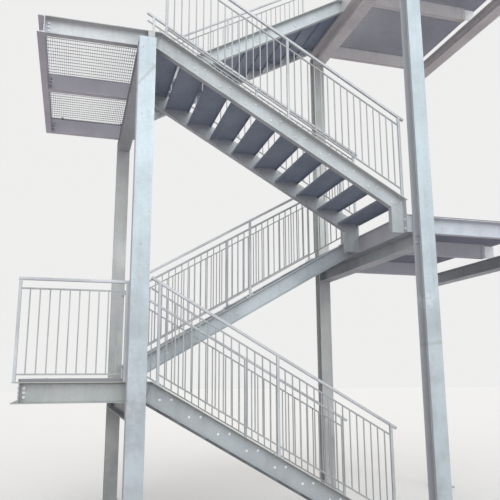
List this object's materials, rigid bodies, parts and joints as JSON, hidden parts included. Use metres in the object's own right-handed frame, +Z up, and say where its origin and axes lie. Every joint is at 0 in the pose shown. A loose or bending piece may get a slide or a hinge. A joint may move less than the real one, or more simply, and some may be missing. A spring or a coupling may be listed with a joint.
{
  "type": "fire escape stair",
  "caption": "Steel stair whose straight flights climb back and forth between grated landings carried on tall columns, with barred railings along the flights.",
  "frame": {"origin": "under the middle of the front left column's base plate, on the ground", "axes": "+X along the flights to the right, +Y away from the open front, +Z up"},
  "size_m": [6.5, 3.351, 8.4526],
  "materials": {
    "galvanised_steel": "hot-dip galvanised, matt pale blue-grey with faint stains",
    "railing_steel": "hot-dip galvanised tube and bar",
    "tread_steel": "galvanised folded plate, duller underneath",
    "grating_steel": "galvanised bar grating"
  },
  "bodies": {
    "root": {"column_front_left": "galvanised_steel", "column_front_outer": "galvanised_steel", "column_front_right": "galvanised_steel", "column_rear_left": "galvanised_steel", "column_rear_outer": "galvanised_steel", "column_rear_right": "galvanised_steel", "cross_beam_1": "galvanised_steel", "cross_beam_2_inner": "galvanised_steel", "cross_beam_2_outer": "galvanised_steel", "cross_beam_3": "galvanised_steel", "cross_beam_4_inner": "galvanised_steel", "cross_beam_4_outer": "galvanised_steel", "flight_1_far_railing": "railing_steel", "flight_1_far_stringer": "galvanised_steel", "flight_1_near_railing": "railing_steel", "flight_1_near_stringer": "galvanised_steel", "flight_1_treads": "tread_steel", "flight_2_far_railing": "railing_steel", "flight_2_far_stringer": "galvanised_steel", "flight_2_near_railing": "railing_steel", "flight_2_near_stringer": "galvanised_steel", "flight_2_treads": "tread_steel", "flight_3_far_railing": "railing_steel", "flight_3_far_stringer": "galvanised_steel", "flight_3_near_railing": "railing_steel", "flight_3_near_stringer": "galvanised_steel", "flight_3_treads": "tread_steel", "flight_4_far_railing": "railing_steel", "flight_4_far_stringer": "galvanised_steel", "flight_4_near_stringer": "galvanised_steel", "flight_4_treads": "tread_steel", "landing_1_frame": "galvanised_steel", "landing_1_grating": "grating_steel", "landing_1_railing": "railing_steel", "landing_2_frame": "galvanised_steel", "landing_2_grating": "grating_steel", "landing_3_frame": "galvanised_steel", "landing_3_grating": "grating_steel", "landing_4_frame": "galvanised_steel", "landing_4_grating": "grating_steel"}
  },
  "joints": []
}
